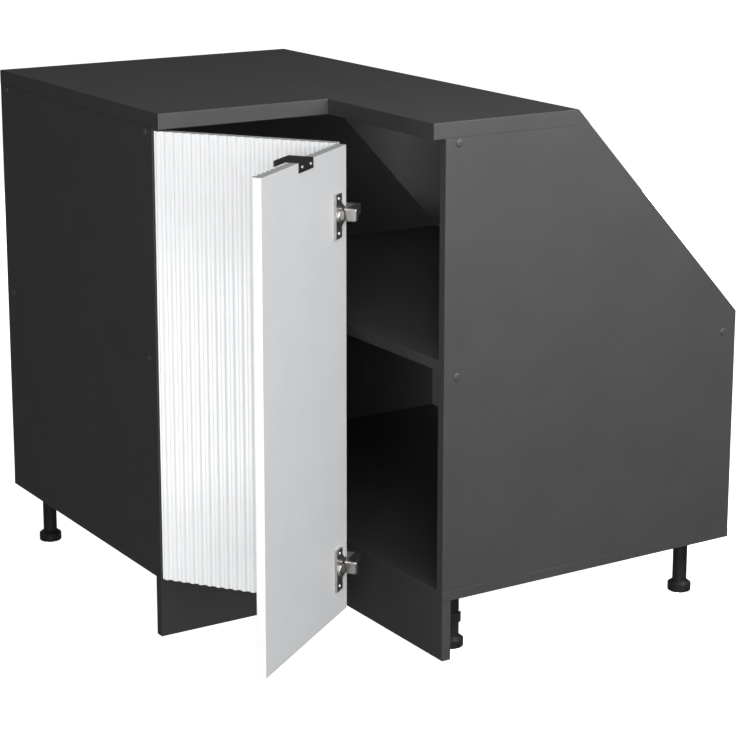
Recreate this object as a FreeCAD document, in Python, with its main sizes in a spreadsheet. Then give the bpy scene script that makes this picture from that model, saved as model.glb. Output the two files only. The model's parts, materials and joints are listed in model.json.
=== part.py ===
import FreeCAD, Part

import os

import Sketcher

# Corner base cabinet for a room with a sloped ceiling, with a folding pair of fluted doors.
# It is drawn in plan with its outer front-left corner at x 0, y 0 and the room corner at x = y = reach.
# One wing runs along the back wall (y = reach), the other along the low wall (x = reach), where the
# ceiling comes down: the worktop stops short there and a slope leads down to a knee wall.
# The frame's origin is on the floor, under the middle of the whole with its doors as they stand.
# Doors and hinges are drawn from their hinge pin: x runs along the leaf, y points out of its back.

SIZES = [
    # Whole cabinet
    ("reach", 900, "length along each wall"),
    ("wing_depth", 600, "worktop front edge to wall"),
    ("height", 850, "floor to worktop"),
    ("worktop_thick", 25, "worktop"),
    ("worktop_round", 1.5, "rounding of the worktop's upper edges"),
    ("front_lip", 22, "worktop past the carcass front"),
    ("slope_top", 267, "depth of worktop left beside the slope"),
    ("knee_height", 491, "floor to the foot of the slope"),
    # Boards
    ("board", 16, "thickness of the carcass boards"),
    ("board_round", 1, "edge band rounding"),
    ("back_thick", 4, "thin panels of slope and knee wall"),
    ("rebate_width", 8, "rebate that takes the thin panels"),
    ("back_play", 0.3, "side play of the thin panels"),
    ("rail_width", 80, "top rails"),
    ("shelf_drop", 9, "shelf's upper face below the foot of the slope"),
    ("shelf_setback", 4, "shelf behind the carcass front"),
    ("shelf_play", 0.5, "shelf to the boards round it"),
    ("cleat", 16, "section of the shelf cleats and side rails"),
    ("cleat_setback", 16, "cleats and side rails behind the carcass front"),
    # Plinth and legs
    ("plinth_rise", 100, "floor to the bottom panel"),
    ("plinth_gap", 3, "floor to the plinth boards"),
    ("leg_inset", 55, "leg axis from the carcass faces"),
    ("left_leg_inset", 46, "rear left leg axis from the carcass faces"),
    ("leg_plate", 64, "side of the square leg plate"),
    ("leg_plate_thick", 4, "leg plate"),
    ("leg_plate_round", 8, "corners of the leg plate"),
    ("leg_screw_offset", 24, "leg screws from the leg axis, both ways"),
    ("socket_radius", 16, "socket on the leg plate"),
    ("socket_deep", 12, "socket on the leg plate"),
    ("stem_radius", 12, "leg stem"),
    ("stem_play", 0.1, "stem in its socket and in the plinth clip"),
    ("foot_radius", 19.5, "foot"),
    ("foot_rim", 13, "height of the foot's upright rim"),
    ("foot_height", 18, "floor to the foot's shoulder"),
    ("foot_chamfer", 1, "lower edge of the foot"),
    ("foot_gap", 0.3, "foot to stem"),
    ("spindle_radius", 6, "threaded spindle of the foot"),
    ("spindle_play", 0.08, "spindle in the stem"),
    ("spindle_top", 60, "floor to the spindle's upper end"),
    ("notch_count", 8, "grip notches round a foot"),
    ("notch_width", 3, "grip notch"),
    ("notch_deep", 2.5, "grip notch"),
    ("notch_tall", 7, "grip notch"),
    ("clip_middle", 50, "floor to the middle of a plinth clip"),
    ("clip_tall", 16, "plinth clip"),
    ("clip_wall", 3, "plinth clip"),
    ("clip_base", 44, "width of the clip's base"),
    ("clip_web", 8, "web between base and ring"),
    ("clip_mouth", 18, "open side of the clip's ring"),
    ("clip_screw_offset", 16, "clip screws from the leg axis"),
    ("corner_plate", 40, "height of the plate that joins the plinth boards"),
    ("corner_plate_lap", 30, "its lap on the left board"),
    ("corner_plate_thick", 2, "its thickness"),
    # Fixings
    ("bolt_length", 30, "carcass screw"),
    ("bolt_radius", 2.5, "carcass screw shank"),
    ("bolt_head_radius", 4, "carcass screw head"),
    ("bolt_head", 4, "height of the sunk head"),
    ("bolt_front", 24, "front carcass screws behind the carcass front"),
    ("bolt_back", 26, "rear carcass screws from the back edge"),
    ("base_bolt_end", 110, "base screws from the board ends"),
    ("top_bolt_end", 120, "worktop screws from the rail ends"),
    ("cap_radius", 6.5, "domed cover cap"),
    ("cap_rim", 0.8, "straight rim of the cap"),
    ("cap_dome", 2.4, "height of the cap"),
    ("dowel_radius", 4, "dowel"),
    ("dowel_length", 28, "dowel"),
    ("dowel_sunk", 11, "dowel in the side boards"),
    ("dowel_edge", 20, "dowels from the rail edges"),
    ("screw_shank", 10, "small screw under its head"),
    ("screw_radius", 1.7, "small screw shank"),
    ("screw_head_radius", 3.2, "small screw head"),
    ("screw_head", 1.6, "height of the small head"),
    ("hole_play", 0.04, "screws and dowels in their holes"),
    ("hole_end", 0.2, "hole past the screw's end"),
    # Doors
    ("door_gap", 3, "door back to carcass front"),
    ("door_top_gap", 3, "door to worktop"),
    ("door_low_gap", 4, "door above the underside of the bottom panel"),
    ("edge_gap", 2, "door edge inside the carcass face"),
    ("corner_gap", 2, "door end to the other door's face"),
    ("core_thick", 13, "door board behind the flutes"),
    ("rib_height", 3, "height of a flute rib"),
    ("rib_count", 20, "ribs on a leaf"),
    ("rib_flat", 0.8, "flat between two ribs"),
    ("rest_swing", 54, "degrees the pair stands open"),
    # Hinges
    ("hinge_low", 74, "lower hinges above the door's lower end"),
    ("hinge_high", 100, "upper hinges below the door's upper end"),
    ("pin_radius", 1.5, "hinge pin"),
    ("pin_edge", 6, "pin from the door's hinge edge"),
    ("pin_depth", 7, "pin inside the door's back"),
    ("pin_play", 0.06, "arm on its pin"),
    ("pin_seat", 0.02, "pin in its cup"),
    ("cup_radius", 17.5, "hinge cup"),
    ("cup_edge", 22.5, "cup centre from the door's hinge edge"),
    ("cup_depth", 11.5, "hinge cup"),
    ("cup_wall", 1, "hinge cup"),
    ("cup_play", 0.1, "cup in its recess"),
    ("nose_reach", 4.2, "cup nose past the pin"),
    ("nose_half", 10, "half the height of the cup nose"),
    ("nose_wall", 1.3, "cheeks that hold the pin"),
    ("flange_tall", 66, "cup flange"),
    ("flange_wide", 21, "cup flange"),
    ("flange_thick", 4.5, "cup flange"),
    ("flange_round", 1, "cup flange corners"),
    ("flange_offset", 15, "flange middle from the cup middle"),
    ("wing_end", 9.5, "flange's wings, nearest the pin"),
    ("wing_root", 16, "half the height of the wings at the flange"),
    ("collar_radius", 10, "round collar on the flange"),
    ("collar_rise", 4.5, "collar above the flange"),
    ("collar_round", 2, "collar's upper edge"),
    ("cup_screw_offset", 26, "cup screws above and below the middle"),
    ("knuckle_radius", 2.6, "arm's eye round the pin"),
    ("neck_thick", 2.2, "arm's neck"),
    ("arm_half", 8.2, "half the height of an arm"),
    ("arm_deep", 9, "arm on its plate"),
    ("arm_setback", 6, "arm behind the panel's front"),
    ("arm_length", 50, "straight part of an arm"),
    ("plate_thick", 3, "hinge plate"),
    ("plate_setback", 14, "plate behind the panel's front"),
    ("plate_length", 46, "hinge plate"),
    ("plate_tall", 50, "hinge plate"),
    ("plate_screw_offset", 16, "plate screws above and below the middle"),
    ("fold_inset", 5, "folding plate from the door's end"),
    ("neck_angle", 42, "neck of the folding arm to the leaf"),
    ("hook_clear", 1, "folding arm's block above the flange"),
    ("hook_bar", 5.5, "thickness of the bar round the leaf's edge"),
    ("hook_tall", 20.5, "block out from the leaf"),
    ("hook_half", 9.6, "half the height of the block"),
    ("hook_round", 2.5, "edges of the block"),
    ("hook_near", 9, "block along the leaf, start"),
    ("hook_far", 19, "block along the leaf, end"),
    # Handle
    ("handle_width", 50, "handle along the door"),
    ("handle_sheet", 1.5, "bent sheet"),
    ("handle_flange", 14, "rear flange"),
    ("handle_reach", 22, "handle past the ribs"),
    ("handle_lip", 9, "front lip"),
    ("handle_bend", 1.2, "outer bends"),
    ("handle_screw_offset", 15, "screws from the handle's middle"),
    ("handle_screw_drop", 7, "screws below the door's upper end"),
]

PLACES = [
    ("notch", "Sizes.reach - Sizes.wing_depth"),
    ("front", "notch + Sizes.front_lip"),
    ("carcass_top", "Sizes.height - Sizes.worktop_thick"),
    ("rail_low", "carcass_top - Sizes.board"),
    ("rail_middle", "carcass_top - Sizes.board / 2"),
    ("deck", "Sizes.plinth_rise + Sizes.board"),
    ("inner", "Sizes.reach - Sizes.board"),
    ("knee_inner", "Sizes.reach - Sizes.back_thick"),
    # Slope: outer line from the worktop's upper edge to the knee, inner line one thin panel inside it
    ("slope_x", "notch + Sizes.slope_top"),
    ("slope_run", "Sizes.reach - slope_x"),
    ("slope_fall", "Sizes.height - Sizes.knee_height"),
    ("slope_length", "sqrt(slope_run * slope_run + slope_fall * slope_fall)"),
    ("slope_low", "slope_x + Sizes.worktop_thick * slope_run / slope_fall"),
    ("slope_in", "slope_low - Sizes.back_thick * slope_length / slope_fall"),
    ("slope_in_low", "slope_in + Sizes.board * slope_run / slope_fall"),
    ("knee_in", "Sizes.height - (knee_inner - slope_in) * slope_fall / slope_run - Sizes.worktop_thick"),
    ("slope_rail", "slope_in - Sizes.rail_width"),
    ("slope_rail_middle", "slope_in - Sizes.rail_width / 2"),
    ("rear_rail", "inner - Sizes.rail_width"),
    ("rear_rail_line", "inner - Sizes.rail_width / 2"),
    ("shelf_top", "Sizes.knee_height - Sizes.shelf_drop"),
    ("shelf_low", "shelf_top - Sizes.board"),
    ("shelf_front", "front + Sizes.shelf_setback"),
    ("cleat_low", "shelf_low - Sizes.cleat"),
    ("cleat_middle", "shelf_low - Sizes.cleat / 2"),
    ("cleat_front", "front + Sizes.cleat_setback"),
    ("side_rail", "Sizes.board + Sizes.cleat / 2"),
    ("side_bolt", "cleat_front + Sizes.top_bolt_end"),
    ("bolt_front", "front + Sizes.bolt_front"),
    ("bolt_back", "Sizes.reach - Sizes.bolt_back"),
    ("bolt_hole", "Sizes.bolt_radius + Sizes.hole_play"),
    ("bolt_seat", "Sizes.bolt_head_radius + Sizes.hole_play"),
    ("bolt_grip", "Sizes.bolt_length - Sizes.board + Sizes.hole_end"),
    ("base_bolt_near", "front + Sizes.base_bolt_end"),
    ("base_bolt_far", "Sizes.reach - Sizes.base_bolt_end"),
    ("dowel_hole", "Sizes.dowel_radius + Sizes.hole_play"),
    ("dowel_out", "Sizes.dowel_length - Sizes.dowel_sunk"),
    ("dowel_near", "slope_rail + Sizes.dowel_edge"),
    ("dowel_far", "slope_in - Sizes.dowel_edge"),
    ("screw_hole", "Sizes.screw_radius + Sizes.hole_play"),
    ("plate_under", "Sizes.plinth_rise - Sizes.leg_plate_thick"),
    ("leg_near", "front + Sizes.leg_inset"),
    ("leg_far", "Sizes.reach - Sizes.leg_inset"),
    ("left_leg_far", "Sizes.reach - Sizes.left_leg_inset"),
    ("clip_low", "Sizes.clip_middle - Sizes.clip_tall / 2"),
    ("clip_high", "Sizes.clip_middle + Sizes.clip_tall / 2"),
    ("clip_back", "Sizes.leg_inset - Sizes.board"),
    ("clip_ring", "Sizes.stem_radius + Sizes.stem_play + Sizes.clip_wall"),
    # Doors, from the hinge pin
    ("door_low", "Sizes.plinth_rise + Sizes.door_low_gap"),
    ("door_high", "carcass_top - Sizes.door_top_gap"),
    ("door_back", "front - Sizes.door_gap"),
    ("door_crest", "door_back - Sizes.core_thick - Sizes.rib_height"),
    ("leaf_end", "door_crest - Sizes.corner_gap"),
    ("leaf_width", "leaf_end - Sizes.edge_gap"),
    ("leaf_free", "leaf_width - Sizes.pin_edge"),
    ("leaf_face", "Sizes.pin_depth - Sizes.core_thick"),
    ("leaf_crest", "leaf_face - Sizes.rib_height"),
    ("rib_pitch", "leaf_width / Sizes.rib_count"),
    ("rib_half", "(rib_pitch - Sizes.rib_flat) / 2"),
    ("rib_middle", "rib_pitch / 2 - Sizes.pin_edge"),
    ("rib_radius", "(rib_half * rib_half / Sizes.rib_height + Sizes.rib_height) / 2"),
    ("hinge_low", "door_low + Sizes.hinge_low"),
    ("hinge_high", "door_high - Sizes.hinge_high"),
    ("cup_x", "Sizes.cup_edge - Sizes.pin_edge"),
    ("cup_floor", "Sizes.pin_depth - Sizes.cup_depth"),
    ("flange_x", "cup_x + Sizes.flange_offset"),
    ("flange_near", "flange_x - Sizes.flange_wide / 2"),
    ("flange_far", "flange_x + Sizes.flange_wide / 2"),
    ("flange_top", "Sizes.pin_depth + Sizes.flange_thick"),
    ("slot_end", "arm_out + Sizes.cup_wall * 1.5"),
    ("cheek", "Sizes.nose_half - Sizes.nose_wall"),
    # Pins: the pair swings on the left panel, the second leaf folds on the first
    ("swing_x", "Sizes.edge_gap + Sizes.pin_edge"),
    ("swing_y", "door_back - Sizes.pin_depth"),
    ("fold_along", "door_back - Sizes.pin_depth - swing_x"),
    ("fold_across", "leaf_end - Sizes.pin_edge - swing_y"),
    ("swing_cos", "cos(Sizes.rest_swing * 1 deg)"),
    ("swing_sin", "sin(Sizes.rest_swing * 1 deg)"),
    ("fold_x", "swing_x + fold_along * swing_cos + fold_across * swing_sin"),
    ("fold_y", "swing_y - fold_along * swing_sin + fold_across * swing_cos"),
    # Carcass arm and plate, from the swing pin
    ("panel_face", "Sizes.board - swing_x"),
    ("panel_front", "Sizes.door_gap + Sizes.pin_depth"),
    ("arm_face", "panel_face + Sizes.plate_thick"),
    ("arm_out", "arm_face + Sizes.arm_deep"),
    ("arm_start", "panel_front + Sizes.arm_setback"),
    ("arm_end", "arm_start + Sizes.arm_length"),
    ("plate_start", "panel_front + Sizes.plate_setback"),
    ("plate_end", "plate_start + Sizes.plate_length"),
    ("plate_middle", "plate_start + Sizes.plate_length / 2"),
    # Folding arm and plate, from the fold pin
    ("fold_back", "Sizes.pin_edge + Sizes.corner_gap + Sizes.core_thick + Sizes.rib_height"),
    ("fold_arm", "fold_back + Sizes.plate_thick"),
    ("fold_arm_out", "fold_arm + Sizes.arm_deep"),
    ("fold_plate", "fold_back - Sizes.pin_depth - Sizes.pin_edge + Sizes.fold_inset"),
    ("fold_plate_end", "fold_plate + Sizes.plate_length"),
    ("fold_plate_middle", "fold_plate + Sizes.plate_length / 2"),
    ("fold_plate_x", "fold_along - fold_plate_middle"),
    ("neck_cos", "cos(Sizes.neck_angle * 1 deg)"),
    ("neck_sin", "sin(Sizes.neck_angle * 1 deg)"),
    ("neck_length", "(hook_low + Sizes.neck_thick * 0.7) / neck_sin"),
    ("hook_low", "flange_top + Sizes.hook_clear"),
    ("hook_bar", "hook_low + Sizes.hook_bar"),
    ("hook_outer", "hook_low + Sizes.hook_tall"),
    ("hook_middle", "(Sizes.hook_near + Sizes.hook_far) / 2"),
    # Handle, from the fold pin
    ("handle_middle", "leaf_free / 2 - Sizes.pin_edge / 2"),
    ("handle_back", "Sizes.pin_depth + Sizes.handle_sheet"),
    ("handle_top", "door_high + Sizes.handle_sheet"),
    ("handle_front", "leaf_crest - Sizes.handle_reach"),
    # Middle of the whole: the second leaf's free end reaches out furthest
    ("free_x", "fold_x - leaf_free * swing_sin + leaf_face * swing_cos"),
    ("free_y", "fold_y - leaf_free * swing_cos - Sizes.pin_depth * swing_sin"),
    ("home_x", "(min(free_x; -Sizes.cap_dome) + Sizes.reach) / 2"),
    ("home_y", "(min(free_y; -Sizes.cap_dome) + Sizes.reach) / 2"),
]

# Frames: x, y and clockwise turn
CARCASS = ("-Places.home_x", "-Places.home_y", "0")
SWING = ("Places.swing_x - Places.home_x", "Places.swing_y - Places.home_y", "0")
DOOR_1 = ("Places.swing_x - Places.home_x", "Places.swing_y - Places.home_y", "Sizes.rest_swing")
DOOR_2 = ("Places.fold_x - Places.home_x", "Places.fold_y - Places.home_y", "Sizes.rest_swing + 90")

# Ways a screw's head can face
HEAD_UP = "rotation(vector(0; 0; 1); 0)"
HEAD_DOWN = "rotation(vector(1; 0; 0); 180)"
HEAD_TO_X = "rotation(vector(0; 1; 0); 90)"
HEAD_FROM_X = "rotation(vector(0; 1; 0); -90)"
HEAD_TO_Y = "rotation(vector(1; 0; 0); -90)"
HEAD_FROM_Y = "rotation(vector(1; 0; 0); 90)"

HINGES = ("Places.hinge_low", "Places.hinge_high")
SIDES = ("-", "")

doc = FreeCAD.newDocument("corner_cabinet")
nodes = []


# Sheets of driving sizes and of what follows from them


def size_sheet():
    sheet = doc.addObject("Spreadsheet::Sheet", "Sizes")
    for row, (alias, value, meaning) in enumerate(SIZES, start=1):
        sheet.set(f"A{row}", str(value))
        sheet.setAlias(f"A{row}", alias)
        sheet.set(f"B{row}", meaning)


def place_sheet():
    sheet = doc.addObject("Spreadsheet::Sheet", "Places")
    for row, (alias, formula) in enumerate(PLACES, start=1):
        sheet.set(f"A{row}", "=" + formula)
        sheet.setAlias(f"A{row}", alias)


# Sketches, pads and pockets with bound sizes


def new_body(label):
    body = doc.addObject("PartDesign::Body", label)
    body.Label = label
    return body


def finish(piece, frame):
    x, y, turn = frame
    place = f"placement(vector({x}; {y}; 0); rotation(vector(0; 0; 1); -({turn})))"
    piece.setExpression("Placement", place)
    nodes.append(piece)


def new_sketch(body, plane, offset):
    sketch = body.newObject("Sketcher::SketchObject", body.Name + "_sketch")
    origin_plane = [item for item in body.Origin.OriginFeatures if item.Role == plane + "_Plane"][0]
    sketch.AttachmentSupport = (origin_plane, [""])
    sketch.MapMode = "FlatFace"
    sketch.setExpression("AttachmentOffset.Base.z", offset)
    return sketch


def value_of(sketch, expression):
    return float(sketch.evalExpression(expression))


def fix_point(sketch, geometry, point, place):
    for kind, expression in zip(("DistanceX", "DistanceY"), place):
        value = value_of(sketch, expression)
        index = sketch.addConstraint(Sketcher.Constraint(kind, geometry, point, value))
        sketch.setExpression(f"Constraints[{index}]", expression)


def fix_radius(sketch, geometry, radius):
    index = sketch.addConstraint(Sketcher.Constraint("Radius", geometry, value_of(sketch, radius)))
    sketch.setExpression(f"Constraints[{index}]", radius)


def point_at(sketch, place):
    return FreeCAD.Vector(value_of(sketch, place[0]), value_of(sketch, place[1]), 0)


def draw_outline(sketch, corners):
    count = len(corners)
    for index in range(count):
        start = point_at(sketch, corners[index])
        end = point_at(sketch, corners[(index + 1) % count])
        sketch.addGeometry(Part.LineSegment(start, end))
    for index in range(count):
        sketch.addConstraint(Sketcher.Constraint("Coincident", index, 2, (index + 1) % count, 1))
    for index in range(count):
        fix_point(sketch, index, 1, corners[index])


def draw_circles(sketch, centres, radius):
    for index, centre in enumerate(centres):
        middle = point_at(sketch, centre)
        circle = Part.Circle(middle, FreeCAD.Vector(0, 0, 1), value_of(sketch, radius))
        sketch.addGeometry(circle)
        fix_point(sketch, index, 3, centre)
        fix_radius(sketch, index, radius)


def pad_sketch(body, plane, low, high):
    # The upright front plane faces backwards along y, so its pads run from high to low
    return new_sketch(body, plane, f"-({high})" if plane == "XZ" else low)


def pocket_sketch(body, plane, low, high):
    return new_sketch(body, plane, f"-({low})" if plane == "XZ" else high)


def extrude(body, kind, sketch, low, high):
    feature = body.newObject("PartDesign::" + kind, f"{body.Name}_{kind.lower()}")
    feature.Profile = sketch
    feature.setExpression("Length", f"({high}) - ({low})")
    return feature


def add(body, plane, corners, low, high):
    sketch = pad_sketch(body, plane, low, high)
    draw_outline(sketch, corners)
    return extrude(body, "Pad", sketch, low, high)


def add_round(body, plane, centres, radius, low, high):
    sketch = pad_sketch(body, plane, low, high)
    draw_circles(sketch, centres, radius)
    return extrude(body, "Pad", sketch, low, high)


def cut(body, plane, corners, low, high):
    sketch = pocket_sketch(body, plane, low, high)
    draw_outline(sketch, corners)
    return extrude(body, "Pocket", sketch, low, high)


def bore(body, plane, centres, radius, low, high):
    sketch = pocket_sketch(body, plane, low, high)
    draw_circles(sketch, centres, radius)
    return extrude(body, "Pocket", sketch, low, high)


def spin(body, corners):
    sketch = new_sketch(body, "XZ", "0")
    draw_outline(sketch, corners)
    feature = body.newObject("PartDesign::Revolution", body.Name + "_turned")
    feature.Profile = sketch
    feature.ReferenceAxis = (sketch, ["V_Axis"])
    feature.Angle = 360
    return feature


def soften(body, radius, wanted):
    doc.recompute()
    tip = body.Tip
    box = tip.Shape.BoundBox
    edges = [f"Edge{i}" for i, edge in enumerate(tip.Shape.Edges, start=1) if wanted(edge, box)]
    fillet = body.newObject("PartDesign::Fillet", body.Name + "_fillet")
    fillet.Base = (tip, edges)
    fillet.setExpression("Radius", radius)


def box_corners(x_low, x_high, y_low, y_high):
    return [(x_low, y_low), (x_high, y_low), (x_high, y_high), (x_low, y_high)]


def board(label, x_range, y_range, z_range, frame=CARCASS):
    body = new_body(label)
    add(body, "XY", box_corners(*x_range, *y_range), *z_range)
    finish(body, frame)
    return body


def copies(label, master, spots, frame):
    links = []
    for index, (x, y, z, turn) in enumerate(spots, start=1):
        link = doc.addObject("App::Link", f"{label}_{index}")
        link.setLink(master)
        link.setExpression("Placement", f"placement(vector({x}; {y}; {z}); {turn})")
        links.append(link)
    group = doc.addObject("Part::Compound", label)
    group.Label = label
    group.Links = links
    finish(group, frame)


# Edges to round


def same(first, second):
    return abs(first - second) < 0.01


def on_top(edge, box):
    return same(edge.BoundBox.ZMin, box.ZMax)


def upright(edge):
    return edge.BoundBox.ZLength > edge.BoundBox.DiagonalLength * 0.999


def front_of_x(edge, box):
    return upright(edge) and same(edge.BoundBox.XMin, box.XMin)


def front_of_y(edge, box):
    return upright(edge) and same(edge.BoundBox.YMin, box.YMin)


def plate_corner(edge, box):
    return upright(edge)


def round_the_top_and_under(edge, box):
    return on_top(edge, box) or under(edge, box)


def round_the_face_of_x(edge, box):
    return same(edge.BoundBox.XMax, box.XMin)


def round_the_face_of_y(edge, box):
    return same(edge.BoundBox.YMax, box.YMin)


def left_panel_edge(edge, box):
    return round_the_face_of_x(edge, box) or front_of_y(edge, box)


def right_panel_edge(edge, box):
    return round_the_face_of_y(edge, box) or front_of_x(edge, box)


def under(edge, box):
    return same(edge.BoundBox.ZMax, box.ZMin)


def outermost_of_back(edge, box):
    return same(edge.BoundBox.YMin, box.YMax)


def every_edge(edge, box):
    return True


# Carcass screws: where they go and the holes they leave

RIGHT_BOLTS = [
    ("Places.bolt_front", "Places.rail_middle"),
    ("Places.bolt_front", "Places.cleat_middle"),
    ("Places.bolt_back", "Places.cleat_middle"),
]
LEFT_BOLTS = RIGHT_BOLTS + [("Places.bolt_back", "Places.rail_middle")]
BASE_BOLTS = [
    ("Places.base_bolt_near", "Sizes.board / 2"),
    ("Places.base_bolt_far", "Sizes.board / 2"),
    ("Sizes.board / 2", "Places.base_bolt_near"),
    ("Sizes.board / 2", "Places.base_bolt_far"),
    ("Places.base_bolt_near", "Sizes.reach - Sizes.board / 2"),
    ("Places.base_bolt_far", "Sizes.reach - Sizes.board / 2"),
]
FRONT_LEFT_BOLT = ("Places.side_rail", "Places.side_bolt")
FRONT_RIGHT_BOLT = ("Places.side_bolt", "Places.side_rail")
REAR_BOLT = ("Sizes.top_bolt_end", "Places.rear_rail_line")
SLOPE_BOLTS = [
    ("Places.slope_rail_middle", "Sizes.top_bolt_end"),
    ("Places.slope_rail_middle", "Places.rear_rail - Sizes.top_bolt_end"),
]
TOP_BOLTS = [FRONT_LEFT_BOLT, FRONT_RIGHT_BOLT, REAR_BOLT] + SLOPE_BOLTS


def bolt_through(body, plane, spots, low, high):
    bore(body, plane, spots, "Places.bolt_hole", low, high)
    bore(body, plane, spots, "Places.bolt_seat", low, f"{low} + Sizes.bolt_head")


# Worktop and carcass boards


def worktop():
    body = new_body("worktop")
    corners = [
        ("0", "Places.notch"),
        ("Places.notch", "Places.notch"),
        ("Places.notch", "0"),
        ("Places.slope_low", "0"),
        ("Places.slope_low", "Sizes.reach"),
        ("0", "Sizes.reach"),
    ]
    add(body, "XY", corners, "Places.carcass_top", "Sizes.height")
    beyond_slope = [
        ("Places.slope_x", "Sizes.height"),
        ("Places.slope_low", "Places.carcass_top"),
        ("Sizes.reach", "Places.carcass_top"),
        ("Sizes.reach", "Sizes.height"),
    ]
    cut(body, "XZ", beyond_slope, "0", "Sizes.reach")
    soften(body, "Sizes.worktop_round", on_top)
    soften(body, "Sizes.board_round", under)
    pilot_end = "Places.carcass_top + Places.bolt_grip"
    bore(body, "XY", TOP_BOLTS, "Places.bolt_hole", "Places.carcass_top", pilot_end)
    finish(body, CARCASS)


def bottom_panel():
    body = new_body("bottom_panel")
    corners = [
        ("0", "Places.front"),
        ("Places.front", "Places.front"),
        ("Places.front", "0"),
        ("Sizes.reach", "0"),
        ("Sizes.reach", "Sizes.reach"),
        ("0", "Sizes.reach"),
    ]
    add(body, "XY", corners, "Sizes.plinth_rise", "Places.deck")
    soften(body, "Sizes.board_round", round_the_top_and_under)
    bolt_through(body, "XY", BASE_BOLTS, "Sizes.plinth_rise", "Places.deck")
    spots = [(f"{x} {dx}", f"{y} {dy}") for x, y in LEGS.values() for dx, dy in LEG_SCREWS]
    pilot_end = "Places.plate_under + Sizes.screw_shank + Sizes.hole_end"
    bore(body, "XY", spots, "Places.screw_hole", "Sizes.plinth_rise", pilot_end)
    finish(body, CARCASS)


def slope_corners(x_start, x_end, knee, x_top):
    return [
        (x_start, "Places.deck"),
        (x_end, "Places.deck"),
        (x_end, knee),
        (x_top, "Places.carcass_top"),
        (x_start, "Places.carcass_top"),
    ]


def right_side_panel():
    body = new_body("right_side_panel")
    outer = slope_corners("Places.front", "Sizes.reach", "Sizes.knee_height", "Places.slope_low")
    inner = slope_corners("Places.front", "Places.knee_inner", "Places.knee_in", "Places.slope_in")
    step = "Sizes.board - Sizes.rebate_width"
    add(body, "XZ", outer, "0", step)
    add(body, "XZ", inner, step, "Sizes.board")
    soften(body, "Sizes.board_round", right_panel_edge)
    bolt_through(body, "XZ", RIGHT_BOLTS, "0", "Sizes.board")
    base = [spot for spot in BASE_BOLTS if spot[1] == "Sizes.board / 2"]
    bore(body, "XY", base, "Places.bolt_hole", "Places.deck", "Places.deck + Places.bolt_grip")
    dowels = [("Places.dowel_near", "Places.rail_middle"), ("Places.dowel_far", "Places.rail_middle")]
    bore(body, "XZ", dowels, "Places.dowel_hole", "Sizes.board - Sizes.dowel_sunk", "Sizes.board")
    finish(body, CARCASS)


def left_side_panel():
    body = new_body("left_side_panel")
    corners = box_corners("Places.front", "Sizes.reach", "Places.deck", "Places.carcass_top")
    add(body, "YZ", corners, "0", "Sizes.board")
    soften(body, "Sizes.board_round", left_panel_edge)
    bolt_through(body, "YZ", LEFT_BOLTS, "0", "Sizes.board")
    base = [spot for spot in BASE_BOLTS if spot[0] == "Sizes.board / 2"]
    bore(body, "XY", base, "Places.bolt_hole", "Places.deck", "Places.deck + Places.bolt_grip")
    plate_y = "Places.swing_y + Places.plate_middle"
    spots = [(plate_y, f"{z} + {side}Sizes.plate_screw_offset") for z in HINGES for side in SIDES]
    pilot = "Sizes.board + Sizes.plate_thick - Sizes.screw_shank - Sizes.hole_end"
    bore(body, "YZ", spots, "Places.screw_hole", pilot, "Sizes.board")
    finish(body, CARCASS)


def rear_panel():
    body = new_body("rear_panel")
    outer = slope_corners("Sizes.board", "Sizes.reach", "Sizes.knee_height", "Places.slope_low")
    inner = slope_corners("Sizes.board", "Places.knee_inner", "Places.knee_in", "Places.slope_in")
    step = "Places.inner + Sizes.rebate_width"
    add(body, "XZ", outer, step, "Sizes.reach")
    add(body, "XZ", inner, "Places.inner", step)
    base = [spot for spot in BASE_BOLTS if spot[1].startswith("Sizes.reach")]
    bore(body, "XY", base, "Places.bolt_hole", "Places.deck", "Places.deck + Places.bolt_grip")
    dowels = [("Places.dowel_near", "Places.rail_middle"), ("Places.dowel_far", "Places.rail_middle")]
    bore(body, "XZ", dowels, "Places.dowel_hole", "Places.inner", "Places.inner + Sizes.dowel_sunk")
    finish(body, CARCASS)


def thin_panels():
    start = "Sizes.board - Sizes.rebate_width + Sizes.back_play"
    end = "Places.inner + Sizes.rebate_width - Sizes.back_play"
    knee = [
        ("Places.knee_inner", "Places.deck"),
        ("Sizes.reach", "Places.deck"),
        ("Sizes.reach", "Sizes.knee_height"),
        ("Places.knee_inner", "Places.knee_in"),
    ]
    slope = [
        ("Sizes.reach", "Sizes.knee_height"),
        ("Places.slope_low", "Places.carcass_top"),
        ("Places.slope_in", "Places.carcass_top"),
        ("Places.knee_inner", "Places.knee_in"),
    ]
    for label, corners in (("knee_panel", knee), ("slope_panel", slope)):
        body = new_body(label)
        add(body, "XZ", corners, start, end)
        finish(body, CARCASS)


def shelf():
    body = new_body("shelf")
    near = "Sizes.board + Sizes.shelf_play"
    far_x = "Places.knee_inner - Sizes.shelf_play"
    far_y = "Places.inner - Sizes.shelf_play"
    corners = [
        (near, "Places.shelf_front"),
        ("Places.shelf_front", "Places.shelf_front"),
        ("Places.shelf_front", near),
        (far_x, near),
        (far_x, far_y),
        (near, far_y),
    ]
    add(body, "XY", corners, "Places.shelf_low", "Places.shelf_top")
    soften(body, "Sizes.board_round", on_top)
    finish(body, CARCASS)


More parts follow.
